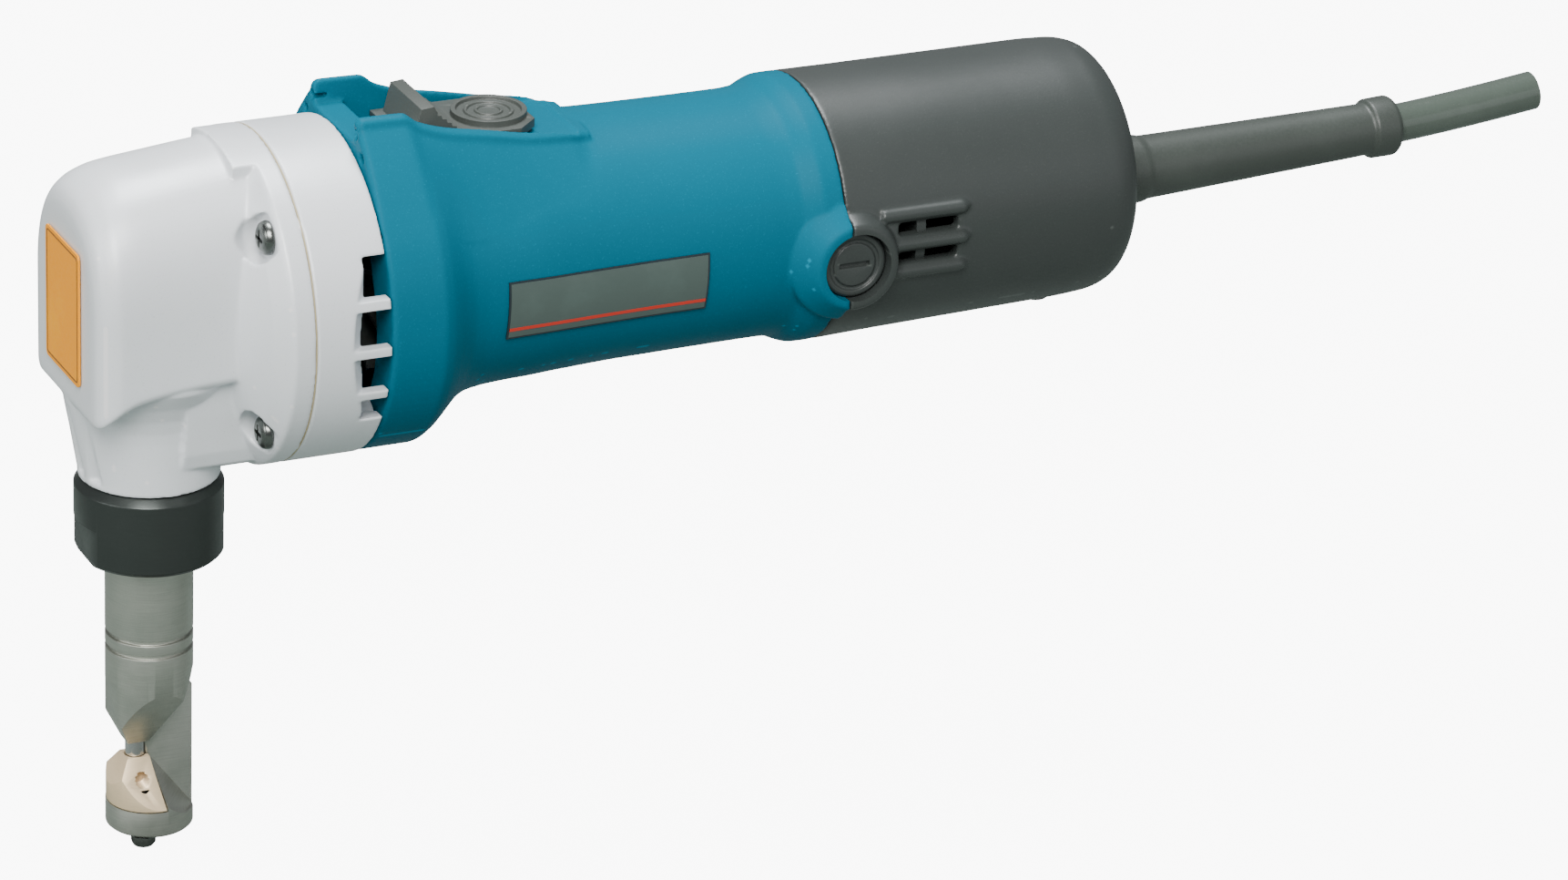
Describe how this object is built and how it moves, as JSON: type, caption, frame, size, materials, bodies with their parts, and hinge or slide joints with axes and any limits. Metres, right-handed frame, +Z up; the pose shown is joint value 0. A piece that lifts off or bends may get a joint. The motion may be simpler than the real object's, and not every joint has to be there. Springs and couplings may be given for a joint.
{
  "type": "nibbler tool",
  "caption": "Hand-held electric nibbler: in-line motor grip, cast head, and a downward die holder with an open throat that cuts sheet metal with a reciprocating punch.",
  "frame": {"origin": "the centre of the foot's underside, on the axis of the die holder and 134.3 mm below the motor axis", "axes": "+X back along the motor to the cord, +Z up, -Z down the die holder to the cutting end, -Y the side with the name plate"},
  "size_m": [0.3857, 0.0788, 0.1786],
  "materials": {
    "cast_aluminium": "satin painted casting with fine grain",
    "teal_plastic": "fine moulded texture",
    "black_plastic": "fine moulded texture",
    "steel": "ground and brushed",
    "dark_steel": "black oxide",
    "tool_bronze": "hardened tool steel with a straw colour",
    "copper": "turned copper",
    "laminations": "stacked sheet iron",
    "bearing_brass": "machined",
    "carbon": "pressed carbon",
    "rubber": "matte",
    "cord_skin": "shiny extruded rubber",
    "orange_label": "printed film, blank",
    "grey_plate": "printed foil, blank"
  },
  "bodies": {
    "housing": {"gear_housing": "cast_aluminium", "vent_ring": "cast_aluminium", "housing_screw_1": "dark_steel", "housing_screw_2": "dark_steel", "housing_screw_3": "dark_steel", "housing_screw_4": "dark_steel", "ram_sleeve": "bearing_brass", "crank_needle_bearing": "steel", "crank_ball_bearing": "steel", "idler_front_bush": "bearing_brass", "idler_rear_bush": "bearing_brass", "field_core": "laminations", "baffle_plate": "black_plastic", "motor_front_bearing": "steel", "motor_rear_bearing": "steel", "bearing_rubber_ring": "rubber", "motor_housing": "teal_plastic", "rear_cover": "black_plastic", "rear_cover_screw_1": "dark_steel", "rear_cover_screw_2": "dark_steel", "brush_holder_1": "bearing_brass", "brush_holder_2": "bearing_brass", "carbon_brush_1": "carbon", "carbon_brush_2": "carbon", "brush_spring_1": "steel", "brush_spring_2": "steel", "switch_unit": "black_plastic", "cord_guard": "rubber", "power_cord": "cord_skin", "cord_clamp": "black_plastic", "cord_clamp_screw_1": "steel", "cord_clamp_screw_2": "steel", "name_plate": "grey_plate", "front_label": "orange_label"},
    "lock_nut": {"lock_nut": "dark_steel"},
    "die_holder": {"die_holder": "steel", "die": "tool_bronze", "die_bolt_1": "dark_steel", "die_bolt_2": "dark_steel"},
    "punch": {"ram": "steel", "punch": "steel", "punch_set_screw": "dark_steel"},
    "crank": {"crankshaft": "steel", "eccentric_bearing": "steel", "crank_gear": "steel"},
    "idler": {"idler_shaft": "steel", "idler_gear": "steel"},
    "armature": {"armature_shaft": "steel", "armature_core": "laminations", "commutator": "copper", "fan": "black_plastic"},
    "switch_bar": {"switch_slide_bar": "black_plastic"},
    "switch_knob": {"switch_knob": "black_plastic"},
    "brush_cap_1": {"brush_cap_1": "black_plastic"},
    "brush_cap_2": {"brush_cap_2": "black_plastic"}
  },
  "joints": [
    {"name": "crank_turn", "type": "hinge", "parent": "housing", "child": "crank", "pos_m": [0.02, 0, 0.1343], "axis": [1, 0, 0], "range_deg": [-90, 90]},
    {"name": "idler_turn", "type": "hinge", "parent": "housing", "child": "idler", "pos_m": [0.027, 0, 0.1133], "axis": [1, 0, 0], "range_deg": [-226, 226]},
    {"name": "armature_turn", "type": "hinge", "parent": "housing", "child": "armature", "pos_m": [0.1, 0, 0.1343], "axis": [1, 0, 0], "range_deg": [-957, 957]},
    {"name": "die_holder_turn", "type": "hinge", "parent": "housing", "child": "die_holder", "pos_m": [0, 0, 0.0843], "axis": [0, 0, 1], "range_deg": [-180, 180]},
    {"name": "punch_stroke", "type": "slide", "parent": "die_holder", "child": "punch", "axis": [0, 0, 1], "range_m": [-0.0036, 0.0036]},
    {"name": "lock_nut_turn", "type": "hinge", "parent": "housing", "child": "lock_nut", "pos_m": [0, 0, 0.0793], "axis": [0, 0, 1], "range_deg": [0, 90]},
    {"name": "switch_slide", "type": "slide", "parent": "housing", "child": "switch_bar", "axis": [-1, 0, 0], "range_m": [0, 0.006]},
    {"name": "switch_rock", "type": "hinge", "parent": "switch_bar", "child": "switch_knob", "pos_m": [0.076, 0, 0.1646], "axis": [0, 1, 0], "range_deg": [-2, 2]},
    {"name": "brush_cap_1_turn", "type": "hinge", "parent": "housing", "child": "brush_cap_1", "pos_m": [0.1625, -0.031, 0.1314], "axis": [0, -1, 0], "range_deg": [0, 360]},
    {"name": "brush_cap_2_turn", "type": "hinge", "parent": "housing", "child": "brush_cap_2", "pos_m": [0.1625, 0.031, 0.1314], "axis": [0, 1, 0], "range_deg": [0, 360]}
  ],
  "couplings": [
    {"joint": "idler_turn", "follows": "crank_turn", "ratio": -2.5},
    {"joint": "armature_turn", "follows": "crank_turn", "ratio": 10.625},
    {"joint": "punch_stroke", "follows": "crank_turn", "m_per_rad": 0.0022282}
  ]
}
